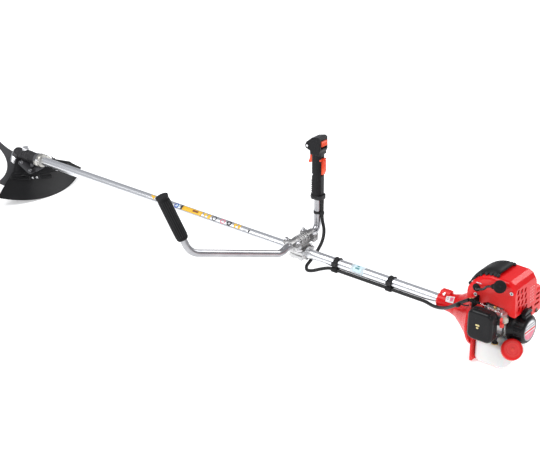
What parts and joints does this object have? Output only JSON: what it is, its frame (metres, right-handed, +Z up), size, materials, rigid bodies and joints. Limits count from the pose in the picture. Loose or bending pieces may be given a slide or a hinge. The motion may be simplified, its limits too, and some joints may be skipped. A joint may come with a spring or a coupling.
{
  "type": "brush cutter",
  "caption": "Petrol brush cutter with a straight tube, a bevel gear head and guarded blade, a bull handlebar with throttle handle, and a small two-stroke engine.",
  "frame": {"origin": "middle of the foot under the engine's fuel tank, on the ground", "axes": "+X along the drive tube from the blade to the engine, +Y the operator's right, +Z up"},
  "size_m": [1.9015, 0.5718, 0.4095],
  "materials": {
    "red_paint": "glossy red paint over die-cast and pressed metal",
    "red_plastic": "glossy moulded red plastic",
    "choke_red": "moulded red plastic with a black boss",
    "stop_red": "moulded orange-red plastic",
    "lever_red": "moulded orange-red plastic",
    "black_plastic": "lightly textured black plastic",
    "black_rubber": "matt black rubber",
    "primer_rubber": "translucent pale rubber",
    "tube_aluminium": "satin anodised aluminium tube",
    "cast_aluminium": "bead-blasted die-cast aluminium",
    "white_tank": "translucent white blow-moulded plastic",
    "blade_steel": "black-coated blade steel",
    "dark_casting": "black-painted die-cast aluminium",
    "steel": "machined steel",
    "fasteners": "zinc-plated steel",
    "muffler_steel": "heat-darkened pressed steel",
    "flywheel_alloy": "cast aluminium",
    "bush_plastic": "moulded nylon",
    "filter_foam": "open-cell foam"
  },
  "bodies": {
    "machine": {"clutch_housing": "red_paint", "tank_stand": "red_paint", "engine_shroud": "red_plastic", "muffler_guard": "red_plastic", "guard": "black_plastic", "handle_left_half": "black_plastic", "handle_right_half": "black_plastic", "air_cleaner_base": "black_plastic", "air_cleaner_cover": "black_plastic", "starter_case": "black_plastic", "left_grip": "black_rubber", "top_pad": "black_rubber", "plug_cap": "black_rubber", "ht_lead": "black_rubber", "throttle_cable": "black_rubber", "fuel_hose": "black_rubber", "cable_clips": "black_rubber", "outer_tube": "tube_aluminium", "handlebar": "tube_aluminium", "bracket_base": "cast_aluminium", "bracket_body": "cast_aluminium", "bracket_cap": "cast_aluminium", "crankcase": "cast_aluminium", "cylinder": "cast_aluminium", "carburettor": "cast_aluminium", "fuel_tank": "white_tank", "gear_case": "dark_casting", "guard_bracket": "dark_casting", "head_bearings": "steel", "engine_bearings": "steel", "spark_plug": "steel", "head_bolts": "fasteners", "handle_screws": "fasteners", "housing_bolts": "fasteners", "muffler": "muffler_steel", "shaft_bushes": "bush_plastic", "air_filter": "filter_foam"},
    "drive_line": {"drive_shaft": "steel", "pinion": "steel", "clutch_drum": "steel"},
    "blade_group": {"arbor": "steel", "output_gear": "steel", "blade_holder": "fasteners", "blade": "blade_steel", "clamp_washer": "fasteners", "arbor_nut": "fasteners"},
    "crank": {"crankshaft": "steel", "flywheel": "flywheel_alloy", "clutch_shoes": "steel"},
    "piston_and_rod": {"piston": "cast_aluminium", "connecting_rod": "steel"},
    "trigger": {"throttle_trigger": "lever_red"},
    "carburettor_arm": {"throttle_arm": "steel"},
    "trigger_lock": {"lock_lever": "lever_red"},
    "switch": {"stop_switch": "stop_red"},
    "choke": {"choke_lever": "choke_red"},
    "primer": {"primer_bulb": "primer_rubber"},
    "tank_cap": {"fuel_cap": "red_plastic"},
    "pulley": {"starter_pulley": "black_plastic"},
    "pull_handle": {"rope_handle": "black_plastic"}
  },
  "joints": [
    {"name": "drive_spin", "type": "hinge", "parent": "machine", "child": "drive_line", "pos_m": [0, 0, 0.106], "axis": [1, 0, 0], "continuous": true},
    {"name": "blade_spin", "type": "hinge", "parent": "machine", "child": "blade_group", "pos_m": [-1.6807, 0, 0.106], "axis": [0.4226, 0, 0.9063], "continuous": true},
    {"name": "crank_spin", "type": "hinge", "parent": "machine", "child": "crank", "pos_m": [0, 0, 0.106], "axis": [1, 0, 0], "continuous": true},
    {"name": "piston_slide", "type": "slide", "parent": "machine", "child": "piston_and_rod", "axis": [0, 0, 1], "range_m": [-0.027, 0]},
    {"name": "trigger_press", "type": "hinge", "parent": "machine", "child": "trigger", "pos_m": [-0.6137, 0.0737, 0.36171], "axis": [0, -0.9997, 0.0258], "range_deg": [0, 14], "stiffness_Nm_per_rad": 0.4, "springref_deg": -17.19},
    {"name": "throttle_turn", "type": "hinge", "parent": "machine", "child": "carburettor_arm", "pos_m": [0.035, -0.056, 0.164], "axis": [0, 0, -1], "range_deg": [0, 21]},
    {"name": "lock_press", "type": "hinge", "parent": "machine", "child": "trigger_lock", "pos_m": [-0.59025, 0.07326, 0.34481], "axis": [0, 0.9997, -0.0258], "range_deg": [0, 8], "stiffness_Nm_per_rad": 0.3, "springref_deg": -17.19},
    {"name": "switch_slide", "type": "slide", "parent": "machine", "child": "switch", "axis": [-0.0258, 0.0258, 0.9993], "range_m": [-0.006, 0]},
    {"name": "choke_turn", "type": "hinge", "parent": "machine", "child": "choke", "pos_m": [0.0463, -0.0812, 0.158], "axis": [-1, 0, 0], "range_deg": [0, 60]},
    {"name": "primer_press", "type": "slide", "parent": "machine", "child": "primer", "axis": [-1, 0, 0], "range_m": [0, 0.004], "stiffness_N_per_m": 600},
    {"name": "cap_turn", "type": "hinge", "parent": "machine", "child": "tank_cap", "pos_m": [0.066, -0.053, 0.071], "axis": [0.5499, -0.6198, 0.5599], "range_deg": [0, 270]},
    {"name": "pulley_turn", "type": "hinge", "parent": "machine", "child": "pulley", "pos_m": [0, 0, 0.106], "axis": [-1, 0, 0], "range_deg": [0, 1140], "stiffness_Nm_per_rad": 0.01, "springref_deg": -286.48},
    {"name": "rope_pull", "type": "slide", "parent": "machine", "child": "pull_handle", "axis": [0, 0, 1], "range_m": [0, 0.4776]}
  ],
  "couplings": [
    {"joint": "blade_spin", "follows": "drive_spin", "ratio": 0.73684},
    {"joint": "throttle_turn", "follows": "trigger_press", "ratio": 1.5},
    {"joint": "rope_pull", "follows": "pulley_turn", "m_per_rad": 0.024}
  ]
}
